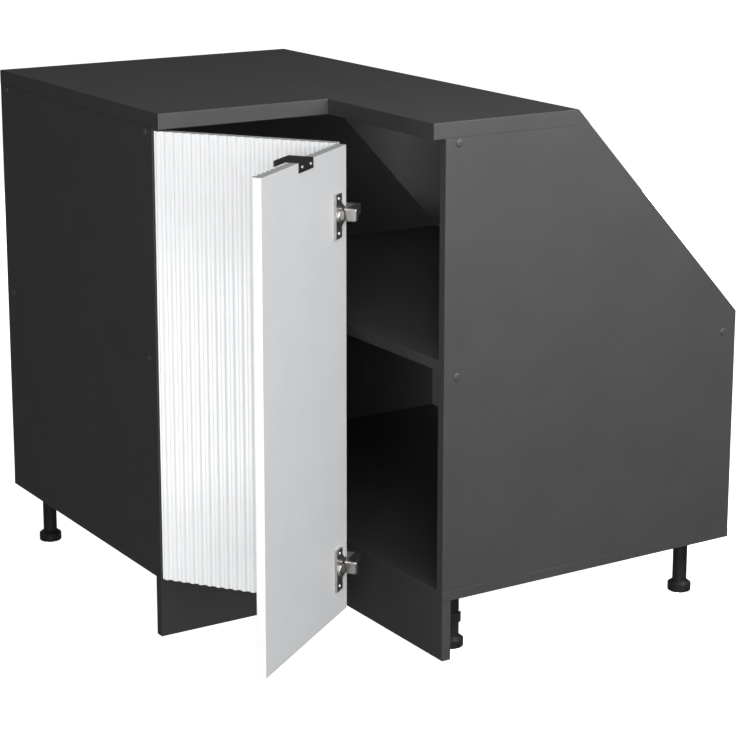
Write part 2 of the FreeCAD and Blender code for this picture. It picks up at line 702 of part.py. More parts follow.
def shelf_cleats():
    height = ("Places.cleat_low", "Places.shelf_low")
    along = ("Places.cleat_front", "Places.inner")
    across = ("Sizes.board", "Sizes.board + Sizes.cleat")
    left = board("left_shelf_cleat", across, along, height)
    right = board("right_shelf_cleat", ("Places.cleat_front", "Places.knee_inner"), across, height)
    start = "Sizes.board + Sizes.cleat"
    board("rear_shelf_cleat", (start, "Places.knee_inner"), ("Places.inner - Sizes.cleat", "Places.inner"), height)
    spots = [("Places.bolt_front", "Places.cleat_middle"), ("Places.bolt_back", "Places.cleat_middle")]
    end = "Sizes.board + Places.bolt_grip"
    bore(left, "YZ", spots, "Places.bolt_hole", "Sizes.board", end)
    bore(right, "XZ", spots, "Places.bolt_hole", "Sizes.board", end)


def front_rails():
    height = ("Places.rail_low", "Places.carcass_top")
    across = ("Sizes.board", "Sizes.board + Sizes.cleat")
    left = board("front_left_rail", across, ("Places.cleat_front", "Places.rear_rail"), height)
    right = board("front_right_rail", ("Places.cleat_front", "Places.slope_rail"), across, height)
    bolt_through(left, "XY", [FRONT_LEFT_BOLT], *height)
    bolt_through(right, "XY", [FRONT_RIGHT_BOLT], *height)
    side = [("Places.bolt_front", "Places.rail_middle")]
    end = "Sizes.board + Places.bolt_grip"
    bore(left, "YZ", side, "Places.bolt_hole", "Sizes.board", end)
    bore(right, "XZ", side, "Places.bolt_hole", "Sizes.board", end)


def rear_rail():
    height = ("Places.rail_low", "Places.carcass_top")
    body = board("rear_rail", ("Sizes.board", "Places.slope_rail"), ("Places.rear_rail", "Places.inner"), height)
    bolt_through(body, "XY", [REAR_BOLT], *height)
    side = [("Places.bolt_back", "Places.rail_middle")]
    bore(body, "YZ", side, "Places.bolt_hole", "Sizes.board", "Sizes.board + Places.bolt_grip")
    dowel = [("Places.rear_rail_line", "Places.rail_middle")]
    start = "Places.slope_rail - Sizes.dowel_sunk"
    bore(body, "YZ", dowel, "Places.dowel_hole", start, "Places.slope_rail")


def slope_rail():
    body = new_body("slope_rail")
    corners = [
        ("Places.slope_rail", "Places.rail_low"),
        ("Places.slope_in_low", "Places.rail_low"),
        ("Places.slope_in", "Places.carcass_top"),
        ("Places.slope_rail", "Places.carcass_top"),
    ]
    add(body, "XZ", corners, "Sizes.board", "Places.inner")
    bolt_through(body, "XY", SLOPE_BOLTS, "Places.rail_low", "Places.carcass_top")
    dowels = [("Places.dowel_near", "Places.rail_middle"), ("Places.dowel_far", "Places.rail_middle")]
    bore(body, "XZ", dowels, "Places.dowel_hole", "Sizes.board", "Sizes.board + Places.dowel_out")
    bore(body, "XZ", dowels, "Places.dowel_hole", "Places.inner - Places.dowel_out", "Places.inner")
    side = [("Places.rear_rail_line", "Places.rail_middle")]
    end = "Places.slope_rail + Places.dowel_out"
    bore(body, "YZ", side, "Places.dowel_hole", "Places.slope_rail", end)
    finish(body, CARCASS)


# Plinth and legs

LEGS = {
    "left_front": ("Sizes.leg_inset", "Places.leg_near"),
    "inner_corner": ("Places.leg_near", "Places.leg_near"),
    "right_front": ("Places.leg_near", "Sizes.leg_inset"),
    "right_back": ("Places.leg_far", "Sizes.leg_inset"),
    "room_corner": ("Places.leg_far", "Places.leg_far"),
    "left_back": ("Sizes.left_leg_inset", "Places.left_leg_far"),
}
LEG_SCREWS = [(f"{a} Sizes.leg_screw_offset", f"{b} Sizes.leg_screw_offset") for a in "+-" for b in "+-"]
CLIP_SCREWS = ["-Sizes.clip_screw_offset", "+Sizes.clip_screw_offset"]


def plinth():
    height = ("Sizes.plinth_gap", "Sizes.plinth_rise")
    band = ("Places.front", "Places.front + Sizes.board")
    left = board("left_plinth", ("0", "Places.front"), band, height)
    right = board("right_plinth", band, ("0", "Places.front + Sizes.board"), height)
    soften(left, "Sizes.board_round", round_the_face_of_y)
    soften(right, "Sizes.board_round", round_the_face_of_x)
    back = "Places.front + Sizes.board"
    pilot = f"{back} + Sizes.clip_wall - Sizes.screw_shank - Sizes.hole_end"
    spots = [(f"Sizes.leg_inset {offset}", "Sizes.clip_middle") for offset in CLIP_SCREWS]
    bore(left, "XZ", spots, "Places.screw_hole", pilot, back)
    bore(right, "YZ", spots, "Places.screw_hole", pilot, back)
    plate_pilot = f"{back} + Sizes.corner_plate_thick - Sizes.screw_shank - Sizes.hole_end"
    lap = [("Places.front - Sizes.corner_plate_lap / 2", "Sizes.clip_middle")]
    end = [("Places.front + Sizes.board / 2", "Sizes.clip_middle")]
    bore(left, "XZ", lap, "Places.screw_hole", plate_pilot, back)
    bore(right, "XZ", end, "Places.screw_hole", plate_pilot, back)
    plate = board(
        "plinth_corner_plate",
        ("Places.front - Sizes.corner_plate_lap", "Places.front + Sizes.board"),
        (back, f"{back} + Sizes.corner_plate_thick"),
        ("Sizes.clip_middle - Sizes.corner_plate / 2", "Sizes.clip_middle + Sizes.corner_plate / 2"),
    )
    bore(plate, "XZ", lap + end, "Places.screw_hole", back, f"{back} + Sizes.corner_plate_thick")


def plinth_clip():
    body = new_body("plinth_clip")
    height = ("Places.clip_low", "Places.clip_high")
    base_face = "-Places.clip_back + Sizes.clip_wall"
    half = "Sizes.clip_base / 2"
    middle = [("0", "0")]
    add(body, "XY", box_corners("-Places.clip_back", base_face, f"-{half}", half), *height)
    web = box_corners(base_face, "-Sizes.stem_radius", "-Sizes.clip_web / 2", "Sizes.clip_web / 2")
    add(body, "XY", web, *height)
    add_round(body, "XY", middle, "Places.clip_ring", *height)
    bore(body, "XY", middle, "Sizes.stem_radius + Sizes.stem_play", *height)
    mouth = box_corners("0", "Places.clip_ring + Sizes.clip_wall", "-Sizes.clip_mouth / 2", "Sizes.clip_mouth / 2")
    cut(body, "XY", mouth, *height)
    spots = [(offset, "Sizes.clip_middle") for offset in CLIP_SCREWS]
    bore(body, "YZ", spots, "Places.screw_hole", "-Places.clip_back", base_face)
    return body


def leg_plate():
    body = new_body("leg_plate")
    half = "Sizes.leg_plate / 2"
    under = "Places.plate_under"
    socket_end = "Places.plate_under - Sizes.socket_deep"
    middle = [("0", "0")]
    add(body, "XY", box_corners(f"-{half}", half, f"-{half}", half), under, "Sizes.plinth_rise")
    soften(body, "Sizes.leg_plate_round", plate_corner)
    add_round(body, "XY", middle, "Sizes.socket_radius", socket_end, under)
    bore(body, "XY", middle, "Sizes.stem_radius + Sizes.stem_play", socket_end, under)
    bore(body, "XY", LEG_SCREWS, "Places.screw_hole", under, "Sizes.plinth_rise")
    return body


def leg_stem():
    body = new_body("leg_stem")
    bore_radius = "Sizes.spindle_radius + Sizes.spindle_play"
    low = "Sizes.foot_height + Sizes.foot_gap"
    bore_top = "Sizes.spindle_top + Sizes.foot_gap"
    corners = [
        (bore_radius, low),
        ("Sizes.stem_radius", low),
        ("Sizes.stem_radius", "Places.plate_under"),
        ("0", "Places.plate_under"),
        ("0", bore_top),
        (bore_radius, bore_top),
    ]
    spin(body, corners)
    return body


def foot(label, place):
    body = new_body(label)
    shoulder = "Sizes.stem_radius + Sizes.foot_chamfer"
    corners = [
        ("0", "0"),
        ("Sizes.foot_radius - Sizes.foot_chamfer", "0"),
        ("Sizes.foot_radius", "Sizes.foot_chamfer"),
        ("Sizes.foot_radius", "Sizes.foot_rim"),
        (shoulder, "Sizes.foot_height"),
        ("Sizes.spindle_radius", "Sizes.foot_height"),
        ("Sizes.spindle_radius", "Sizes.spindle_top"),
        ("0", "Sizes.spindle_top"),
    ]
    spin(body, corners)
    bottom = "Sizes.foot_radius - Sizes.notch_deep"
    half = "Sizes.notch_width / 2"
    notch = box_corners(bottom, "Sizes.foot_radius + Sizes.notch_deep", f"-{half}", half)
    pocket = cut(body, "XY", notch, "0", "Sizes.notch_tall")
    doc.recompute()
    ring = body.newObject("PartDesign::PolarPattern", label + "_notches")
    ring.Originals = [pocket]
    ring.Axis = (pocket.Profile[0], ["N_Axis"])
    ring.Angle = 360
    ring.setExpression("Occurrences", "Sizes.notch_count")
    body.Tip = ring
    finish(body, (f"{place[0]} - Places.home_x", f"{place[1]} - Places.home_y", "0"))


def legs():
    spots = [(x, y, "0", HEAD_UP) for x, y in LEGS.values()]
    copies("leg_plates", leg_plate(), spots, CARCASS)
    copies("leg_stems", leg_stem(), spots, CARCASS)
    for name, place in LEGS.items():
        foot("foot_" + name, place)
    to_left = ("Sizes.leg_inset", "Places.leg_near", "0", "rotation(vector(0; 0; 1); 90)")
    to_right = ("Places.leg_near", "Sizes.leg_inset", "0", HEAD_UP)
    copies("plinth_clips", plinth_clip(), [to_left, to_right], CARCASS)


# Fixings


def small_screw():
    body = new_body("small_screw")
    crown = "Sizes.screw_head * 0.45"
    corners = [
        ("0", "-Sizes.screw_shank"),
        ("Sizes.screw_radius", "-Sizes.screw_shank"),
        ("Sizes.screw_radius", "0"),
        ("Sizes.screw_head_radius", "0"),
        ("Sizes.screw_head_radius", crown),
        ("Sizes.screw_head_radius * 0.6", "Sizes.screw_head"),
        ("0", "Sizes.screw_head"),
    ]
    spin(body, corners)
    return body


def carcass_screw():
    body = new_body("carcass_screw")
    corners = [
        ("0", "-Sizes.bolt_length"),
        ("Sizes.bolt_radius", "-Sizes.bolt_length"),
        ("Sizes.bolt_radius", "-Sizes.bolt_head"),
        ("Sizes.bolt_head_radius", "-Sizes.bolt_head"),
        ("Sizes.bolt_head_radius", "0"),
        ("0", "0"),
    ]
    spin(body, corners)
    return body


def cover_cap():
    body = new_body("cover_cap")
    corners = [
        ("0", "0"),
        ("Sizes.cap_radius", "0"),
        ("Sizes.cap_radius", "Sizes.cap_rim"),
        ("Sizes.cap_radius * 0.8", "Sizes.cap_dome * 0.75"),
        ("Sizes.cap_radius * 0.45", "Sizes.cap_dome"),
        ("0", "Sizes.cap_dome"),
    ]
    spin(body, corners)
    return body


def dowel():
    body = new_body("dowel")
    add_round(body, "XY", [("0", "0")], "Sizes.dowel_radius", "-Places.dowel_out", "Sizes.dowel_sunk")
    return body


def fixings():
    bolt = carcass_screw()
    right = [(x, "0", z, HEAD_FROM_Y) for x, z in RIGHT_BOLTS]
    left = [("0", y, z, HEAD_FROM_X) for y, z in LEFT_BOLTS]
    copies("carcass_screws", bolt, right + left, CARCASS)
    copies("base_screws", bolt, [(x, y, "Sizes.plinth_rise", HEAD_DOWN) for x, y in BASE_BOLTS], CARCASS)
    copies("worktop_screws", bolt, [(x, y, "Places.rail_low", HEAD_DOWN) for x, y in TOP_BOLTS], CARCASS)
    cap = cover_cap()
    copies("right_cover_caps", cap, right, CARCASS)
    copies("left_cover_caps", cap, left, CARCASS)
    peg = dowel()
    spots = [("Places.slope_rail", "Places.rear_rail_line", "Places.rail_middle", HEAD_FROM_X)]
    for x in ("Places.dowel_near", "Places.dowel_far"):
        spots.append((x, "Sizes.board", "Places.rail_middle", HEAD_FROM_Y))
        spots.append((x, "Places.inner", "Places.rail_middle", HEAD_TO_Y))
    copies("dowels", peg, spots, CARCASS)


def small_screws(screw):
    leg_spots = [(f"{x} {dx}", f"{y} {dy}") for x, y in LEGS.values() for dx, dy in LEG_SCREWS]
    copies("leg_screws", screw, [(x, y, "Places.plate_under", HEAD_DOWN) for x, y in leg_spots], CARCASS)
    base = "Places.front + Sizes.board + Sizes.clip_wall"
    plate = "Places.front + Sizes.board + Sizes.corner_plate_thick"
    spots = []
    for offset in CLIP_SCREWS:
        spots.append((f"Sizes.leg_inset {offset}", base, "Sizes.clip_middle", HEAD_TO_Y))
        spots.append((base, f"Sizes.leg_inset {offset}", "Sizes.clip_middle", HEAD_TO_X))
    for x in ("Places.front - Sizes.corner_plate_lap / 2", "Places.front + Sizes.board / 2"):
        spots.append((x, plate, "Sizes.clip_middle", HEAD_TO_Y))
    copies("plinth_screws", screw, spots, CARCASS)


# Doors

CUP_SCREWS = [("Places.flange_x", f"{z} + {side}Sizes.cup_screw_offset") for z in HINGES for side in SIDES]
HANDLE_SCREWS = [
    (f"Places.handle_middle + {side}Sizes.handle_screw_offset", "Places.door_high - Sizes.handle_screw_drop")
    for side in SIDES
]
FOLD_SCREWS = [
    ("Places.fold_plate_x", f"{z} + {side}Sizes.plate_screw_offset") for z in HINGES for side in SIDES
]


def rib(body):
    sketch = pad_sketch(body, "XY", "Places.door_low", "Places.door_high")
    start = ("Places.rib_middle - Places.rib_half", "Places.leaf_face")
    end = ("Places.rib_middle + Places.rib_half", "Places.leaf_face")
    crest = ("Places.rib_middle", "Places.leaf_crest")
    first = point_at(sketch, start)
    last = point_at(sketch, end)
    sketch.addGeometry(Part.Arc(first, point_at(sketch, crest), last))
    sketch.addGeometry(Part.LineSegment(last, first))
    sketch.addConstraint(Sketcher.Constraint("Coincident", 0, 2, 1, 1))
    sketch.addConstraint(Sketcher.Constraint("Coincident", 0, 1, 1, 2))
    fix_point(sketch, 1, 1, end)
    fix_point(sketch, 1, 2, start)
    fix_radius(sketch, 0, "Places.rib_radius")
    return extrude(body, "Pad", sketch, "Places.door_low", "Places.door_high")


def leaf(label, screw_spots, frame):
    body = new_body(label)
    back = "Sizes.pin_depth"
    core = box_corners("-Sizes.pin_edge", "Places.leaf_free", "Places.leaf_face", back)
    add(body, "XY", core, "Places.door_low", "Places.door_high")
    first_rib = rib(body)
    doc.recompute()
    ribs = body.newObject("PartDesign::LinearPattern", label + "_ribs")
    ribs.Originals = [first_rib]
    ribs.Direction = (first_rib.Profile[0], ["H_Axis"])
    ribs.setExpression("Length", "Places.rib_pitch * (Sizes.rib_count - 1)")
    ribs.setExpression("Occurrences", "Sizes.rib_count")
    body.Tip = ribs
    recess = "Places.cup_floor - Sizes.cup_play"
    cups = [("Places.cup_x", z) for z in HINGES]
    bore(body, "XZ", cups, "Sizes.cup_radius + Sizes.cup_play", recess, back)
    for z in HINGES:
        nose = box_corners(
            "-Sizes.nose_reach - Sizes.cup_play",
            "Places.cup_x",
            f"{z} - Sizes.nose_half - Sizes.cup_play",
            f"{z} + Sizes.nose_half + Sizes.cup_play",
        )
        cut(body, "XZ", nose, recess, back)
    for spots, seat in screw_spots:
        pilot = f"{back} + {seat} - Sizes.screw_shank - Sizes.hole_end"
        bore(body, "XZ", spots, "Places.screw_hole", pilot, back)
    finish(body, frame)


def handle():
    body = new_body("handle")
    low = "Places.door_high - Sizes.handle_flange"
    lip = "Places.handle_top - Sizes.handle_lip"
    lip_back = "Places.handle_front + Sizes.handle_sheet"
    corners = [
        ("Sizes.pin_depth", low),
        ("Places.handle_back", low),
        ("Places.handle_back", "Places.handle_top"),
        ("Places.handle_front", "Places.handle_top"),
        ("Places.handle_front", lip),
        (lip_back, lip),
        (lip_back, "Places.door_high"),
        ("Sizes.pin_depth", "Places.door_high"),
    ]
    start = "Places.handle_middle - Sizes.handle_width / 2"
    end = "Places.handle_middle + Sizes.handle_width / 2"
    add(body, "YZ", corners, start, end)

    def outer_bend(edge, box):
        at_bend = same(edge.BoundBox.YMax, box.YMin) or same(edge.BoundBox.YMin, box.YMax)
        return on_top(edge, box) and at_bend

    soften(body, "Sizes.handle_bend", outer_bend)
    bore(body, "XZ", HANDLE_SCREWS, "Places.screw_hole", "Sizes.pin_depth", "Places.handle_back")
    finish(body, DOOR_2)


# Hinges


def hinge_cup():
    body = new_body("hinge_cup")
    back = "Sizes.pin_depth"
    half_tall = "Sizes.flange_tall / 2"
    flange = box_corners("Places.flange_near", "Places.flange_far", f"-{half_tall}", half_tall)
    add(body, "XZ", flange, back, "Places.flange_top")

    def flange_corner(edge, box):
        return edge.BoundBox.YLength > edge.BoundBox.DiagonalLength * 0.999

    soften(body, "Sizes.flange_round", flange_corner)
    wings = [
        ("Places.flange_x", "Sizes.wing_root"),
        ("Places.flange_near", "Sizes.wing_root"),
        ("Sizes.wing_end", "Sizes.nose_half"),
        ("Sizes.wing_end", "-Sizes.nose_half"),
        ("Places.flange_near", "-Sizes.wing_root"),
        ("Places.flange_x", "-Sizes.wing_root"),
    ]
    add(body, "XZ", wings, back, "Places.flange_top")
    collar_top = "Places.flange_top + Sizes.collar_rise"
    add_round(body, "XZ", [("Places.flange_x", "0")], "Sizes.collar_radius", back, collar_top)
    soften(body, "Sizes.collar_round", outermost_of_back)
    add_round(body, "XZ", [("Places.cup_x", "0")], "Sizes.cup_radius", "Places.cup_floor", back)
    nose = box_corners("-Sizes.nose_reach", "Places.cup_x", "-Sizes.nose_half", "Sizes.nose_half")
    add(body, "XZ", nose, "Places.cup_floor", back)
    floor = "Places.cup_floor + Sizes.cup_wall"
    slot = box_corners("-Sizes.nose_reach + Sizes.cup_wall", "Places.slot_end", "-Places.cheek", "Places.cheek")
    cut(body, "XZ", slot, floor, collar_top)
    pin_hole = "Sizes.pin_radius + Sizes.pin_seat"
    bore(body, "XY", [("0", "0")], pin_hole, "-Sizes.nose_half", "Sizes.nose_half")
    screws = [("Places.flange_x", f"{side}Sizes.cup_screw_offset") for side in SIDES]
    bore(body, "XZ", screws, "Places.screw_hole", back, "Places.flange_top")
    return body


def hinge_pin():
    body = new_body("hinge_pin")
    add_round(body, "XY", [("0", "0")], "Sizes.pin_radius", "-Sizes.nose_half", "Sizes.nose_half")
    return body


def arm_eye(body):
    height = ("-Sizes.arm_half", "Sizes.arm_half")
    middle = [("0", "0")]
    add_round(body, "XY", middle, "Sizes.knuckle_radius", *height)
    bore(body, "XY", middle, "Sizes.pin_radius + Sizes.pin_play", *height)


def carcass_arm():
    body = new_body("carcass_arm")
    half = "Sizes.neck_thick / 2"
    corners = [
        ("0", f"-{half}"),
        ("Places.arm_out", f"-{half}"),
        ("Places.arm_out", "Places.arm_end"),
        ("Places.arm_face", "Places.arm_end"),
        ("Places.arm_face", "Places.arm_start"),
        ("Places.arm_out - Sizes.neck_thick", "Places.arm_start"),
        ("Places.arm_out - Sizes.neck_thick", half),
        ("0", half),
    ]
    add(body, "XY", corners, "-Sizes.arm_half", "Sizes.arm_half")
    arm_eye(body)
    return body


def folding_arm():
    body = new_body("folding_arm")
    height = ("-Sizes.arm_half", "Sizes.arm_half")
    block = box_corners("Sizes.hook_near", "Sizes.hook_far", "Places.hook_low", "Places.hook_outer")
    add(body, "XY", block, "-Sizes.hook_half", "Sizes.hook_half")
    soften(body, "Sizes.hook_round", every_edge)
    bar = [
        ("Places.hook_middle", "Places.hook_low"),
        ("Places.hook_middle", "Places.hook_bar"),
        ("-Places.fold_arm_out", "Places.hook_bar"),
        ("-Places.fold_arm_out", "-Places.fold_plate_end"),
        ("-Places.fold_arm", "-Places.fold_plate_end"),
        ("-Places.fold_arm", "Places.hook_low"),
    ]
    add(body, "XY", bar, *height)
    side_x = "Sizes.neck_thick / 2 * Places.neck_sin"
    side_y = "Sizes.neck_thick / 2 * Places.neck_cos"
    end_x = "Places.neck_length * Places.neck_cos"
    end_y = "Places.neck_length * Places.neck_sin"
    neck = [
        (side_x, f"-{side_y}"),
        (f"{end_x} + {side_x}", f"{end_y} - {side_y}"),
        (f"{end_x} - {side_x}", f"{end_y} + {side_y}"),
        (f"-{side_x}", side_y),
    ]
    add(body, "XY", neck, *height)
    arm_eye(body)
    return body


def hinge_plate():
    body = new_body("hinge_plate")
    half = "Sizes.plate_tall / 2"
    corners = box_corners("Places.plate_start", "Places.plate_end", f"-{half}", half)
    add(body, "YZ", corners, "Places.panel_face", "Places.arm_face")
    spots = [("Places.plate_middle", f"{side}Sizes.plate_screw_offset") for side in SIDES]
    bore(body, "YZ", spots, "Places.screw_hole", "Places.panel_face", "Places.arm_face")
    return body


def folding_plate():
    body = new_body("folding_plate")
    half = "Sizes.plate_tall / 2"
    corners = box_corners("-Places.fold_plate_end", "-Places.fold_plate", f"-{half}", half)
    add(body, "YZ", corners, "-Places.fold_arm", "-Places.fold_back")
    spots = [("-Places.fold_plate_middle", f"{side}Sizes.plate_screw_offset") for side in SIDES]
    bore(body, "YZ", spots, "Places.screw_hole", "-Places.fold_arm", "-Places.fold_back")
    return body


def hinges(screw):
    at_hinges = [("0", "0", z, HEAD_UP) for z in HINGES]
    cup_screws = [(x, "Places.flange_top", z, HEAD_TO_Y) for x, z in CUP_SCREWS]
    plate_heights = [f"{z} + {side}Sizes.plate_screw_offset" for z in HINGES for side in SIDES]
    carcass_screws = [("Places.arm_face", "Places.plate_middle", z, HEAD_TO_X) for z in plate_heights]
    fold_screws = [("-Places.fold_arm", "-Places.fold_plate_middle", z, HEAD_FROM_X) for z in plate_heights]
    cup = hinge_cup()
    pin = hinge_pin()
    copies("door_1_hinge_cups", cup, at_hinges, DOOR_1)
    copies("door_1_hinge_pins", pin, at_hinges, DOOR_1)
    copies("door_1_cup_screws", screw, cup_screws, DOOR_1)
    copies("door_1_hinge_arms", carcass_arm(), at_hinges, SWING)
    copies("door_1_hinge_plates", hinge_plate(), at_hinges, SWING)
    copies("door_1_plate_screws", screw, carcass_screws, SWING)
    copies("door_2_hinge_cups", cup, at_hinges, DOOR_2)
    copies("door_2_hinge_pins", pin, at_hinges, DOOR_2)
    copies("door_2_cup_screws", screw, cup_screws, DOOR_2)
    copies("door_2_hinge_arms", folding_arm(), at_hinges, DOOR_2)
    copies("door_2_hinge_plates", folding_plate(), at_hinges, DOOR_2)
    copies("door_2_plate_screws", screw, fold_screws, DOOR_2)


def doors(screw):
    leaf("door_1", [(CUP_SCREWS, "Sizes.flange_thick"), (FOLD_SCREWS, "Sizes.plate_thick")], DOOR_1)
    leaf("door_2", [(CUP_SCREWS, "Sizes.flange_thick"), (HANDLE_SCREWS, "Sizes.handle_sheet")], DOOR_2)
    handle()
    spots = [(x, "Places.handle_back", z, HEAD_TO_Y) for x, z in HANDLE_SCREWS]
    copies("handle_screws", screw, spots, DOOR_2)


# Checks and files


def check():
    for item in doc.Objects:
        if "Invalid" in item.State or "Error" in item.State:
            raise RuntimeError(f"{item.Label} failed: {item.State}")
        if item.TypeId == "PartDesign::Pocket":
            removed = item.BaseFeature.Shape.Volume - item.Shape.Volume
            if removed < 0.01:
                raise RuntimeError(f"{item.Label} cuts nothing")
    for piece in nodes:
        if piece.Shape.isNull() or not piece.Shape.isValid():
            raise RuntimeError(f"{piece.Label} has no valid shape")


def write():
    os.makedirs("parts", exist_ok=True)
    for piece in nodes:
        piece.Shape.exportStep(f"parts/{piece.Label}.step")
        box = piece.Shape.BoundBox
        solids = len(piece.Shape.Solids)
        print(f"{piece.Label}: {solids} solid(s), z {box.ZMin:.1f} to {box.ZMax:.1f}")


size_sheet()
doc.recompute()
place_sheet()
doc.recompute()
worktop()
bottom_panel()
left_side_panel()
right_side_panel()
rear_panel()
thin_panels()
shelf()
shelf_cleats()
front_rails()
rear_rail()
slope_rail()
plinth()
legs()
fixings()
screw_master = small_screw()
small_screws(screw_master)
doors(screw_master)
hinges(screw_master)
doc.recompute()
check()
write()
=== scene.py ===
import json
import math

import bmesh
import bpy
from mathutils import Matrix, Vector


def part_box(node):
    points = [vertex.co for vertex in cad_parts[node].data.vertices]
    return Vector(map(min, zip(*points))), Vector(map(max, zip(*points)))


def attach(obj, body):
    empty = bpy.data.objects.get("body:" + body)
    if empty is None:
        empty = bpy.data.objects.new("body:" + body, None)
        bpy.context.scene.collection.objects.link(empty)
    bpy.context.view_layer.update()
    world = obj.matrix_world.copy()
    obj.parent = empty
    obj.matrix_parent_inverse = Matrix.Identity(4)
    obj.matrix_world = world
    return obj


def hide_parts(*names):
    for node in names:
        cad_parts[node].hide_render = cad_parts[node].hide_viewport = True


# Corner base cabinet with a sloped back: anthracite boards, a folding pair of white fluted doors,
# nickel hinges, a black sheet handle and black levelling legs. Sizes in metres.

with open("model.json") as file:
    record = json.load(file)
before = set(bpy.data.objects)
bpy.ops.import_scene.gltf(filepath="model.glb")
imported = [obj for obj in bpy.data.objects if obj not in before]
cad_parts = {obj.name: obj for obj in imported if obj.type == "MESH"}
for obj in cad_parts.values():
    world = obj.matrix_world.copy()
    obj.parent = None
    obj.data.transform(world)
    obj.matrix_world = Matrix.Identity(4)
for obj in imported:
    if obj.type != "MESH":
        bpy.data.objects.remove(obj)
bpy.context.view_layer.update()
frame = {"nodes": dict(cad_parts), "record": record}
scene = bpy.context.scene
nodes = frame["nodes"]

REST_SWING = math.radians(54)
RIBS = 20
RIB_STEPS = 32
RIB_HEIGHT = 0.003
CREST_SHARE = 0.28
FOOT_SHARE = 0.72
CORE_THICK = 0.013
PIN_EDGE = 0.006
PIN_DEPTH = 0.007
LEAF_WIDTH = 0.299
CUP_MIDDLE = 0.0165
CUP_RECESS = 0.0176
CUP_SUNK = 0.0116
NOSE_REACH = 0.0043
NOSE_HALF = 0.0101
CUP_SIDES = 40
CUTTER_PROUD = 0.004
BACK_FACING = 0.7
END_FACING = 0.9
SCREW_SIDES = 20
RECESS_PROUD = 0.001
CAP_SIDES = 32
NAIL_SIDES = 12
NAIL_INSET = 0.0045
TOUCHING = 1e-6
ON_EDGE = 1e-4


# Places read from the frame


def pin_of(node):
    low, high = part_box(node)
    return (low + high) / 2


def islands(node):
    """The separate solids of a node, each as a list of points."""
    work = bmesh.new()
    work.from_mesh(nodes[node].data)
    bmesh.ops.remove_doubles(work, verts=work.verts, dist=TOUCHING)
    left = dict.fromkeys(work.verts)
    found = []
    while left:
        start = next(iter(left))
        del left[start]
        group = [start]
        reach = [start]
        while reach:
            for edge in reach.pop().link_edges:
                for point in edge.verts:
                    if point in left:
                        del left[point]
                        group.append(point)
                        reach.append(point)
        found.append([point.co.copy() for point in group])
    work.free()
    return found


def heads_of(node, out):
    """For each turned piece of a node, the point on its axis at the end that faces out."""
    spots = []
    for points in islands(node):
        middle = sum(points, Vector()) / len(points)
        top = max(point.dot(out) for point in points)
        spots.append(middle + out * (top - middle.dot(out)))
    return spots


def leaf_frame(pin, turn):
    """A leaf's own frame: x runs along it from the pin, y points to its back."""
    return Matrix.Translation((pin.x, pin.y, 0)) @ Matrix.Rotation(-turn, 4, "Z")


swing_pin = pin_of("door_1_hinge_pins")
fold_pin = pin_of("door_2_hinge_pins")
door_1_frame = leaf_frame(swing_pin, REST_SWING)
door_2_frame = leaf_frame(fold_pin, REST_SWING + math.pi / 2)
door_1_out = door_1_frame.to_3x3() @ Vector((0, 1, 0))
door_2_out = door_2_frame.to_3x3() @ Vector((0, 1, 0))
door_2_along = door_2_frame.to_3x3() @ Vector((1, 0, 0))


# Materials

GRAIN_SPAN = (0.3, 0.7)
DRIFT_SPAN = (0.35, 0.65)


def new_finish(name, roughness, metallic=0.0):
    finish = bpy.data.materials.new(name)
    finish.use_nodes = True
    shader = finish.node_tree.nodes["Principled BSDF"]
    shader.inputs["Roughness"].default_value = roughness
    shader.inputs["Metallic"].default_value = metallic
    return finish, shader


def add_node(tree, kind, **settings):
    node = tree.nodes.new(kind)
    for key, value in settings.items():
        setattr(node, key, value)
    return node


def grain(finish, scale, detail):
    tree = finish.node_tree
    place = add_node(tree, "ShaderNodeTexCoord")
    noise = add_node(tree, "ShaderNodeTexNoise")
    noise.inputs["Scale"].default_value = scale
    noise.inputs["Detail"].default_value = detail
    tree.links.new(place.outputs["Object"], noise.inputs["Vector"])
    return noise.outputs["Fac"]


def spread(finish, value, low, high):
    """The middle of the grain, stretched from low to high."""
    tree = finish.node_tree
    span = add_node(tree, "ShaderNodeMapRange")
    span.inputs["From Min"].default_value = GRAIN_SPAN[0]
    span.inputs["From Max"].default_value = GRAIN_SPAN[1]
    span.inputs["To Min"].default_value = low
    span.inputs["To Max"].default_value = high
    tree.links.new(value, span.inputs["Value"])
    return span.outputs["Result"]


def two_tone(finish, value, dark, light):
    tree = finish.node_tree
    ramp = add_node(tree, "ShaderNodeValToRGB")
    ramp.color_ramp.elements[0].position = DRIFT_SPAN[0]
    ramp.color_ramp.elements[0].color = (*dark, 1)
    ramp.color_ramp.elements[1].position = DRIFT_SPAN[1]
    ramp.color_ramp.elements[1].color = (*light, 1)
    tree.links.new(value, ramp.inputs["Fac"])
    return ramp.outputs["Color"]


def relief(finish, shader, value, strength, depth):
    tree = finish.node_tree
    bump = add_node(tree, "ShaderNodeBump")
    bump.inputs["Strength"].default_value = strength
    bump.inputs["Distance"].default_value = depth
    tree.links.new(value, bump.inputs["Height"])
    tree.links.new(bump.outputs["Normal"], shader.inputs["Normal"])


def grained(name, dark, light, rough, scale, strength, depth, metallic=0.0, cloud=14.0):
    """A finish with a slow drift of tone, a fine grain in its gloss and a fine relief."""
    finish, shader = new_finish(name, sum(rough) / 2, metallic)
    links = finish.node_tree.links
    drift = grain(finish, cloud, detail=4.0)
    links.new(two_tone(finish, drift, dark, light), shader.inputs["Base Color"])
    fine = grain(finish, scale, detail=6.0)
    links.new(spread(finish, fine, *rough), shader.inputs["Roughness"])
    relief(finish, shader, fine, strength, depth)
    return finish


def grey(value, warm=0.0):
    return (value * (1 + warm), value, value * (1 - warm))


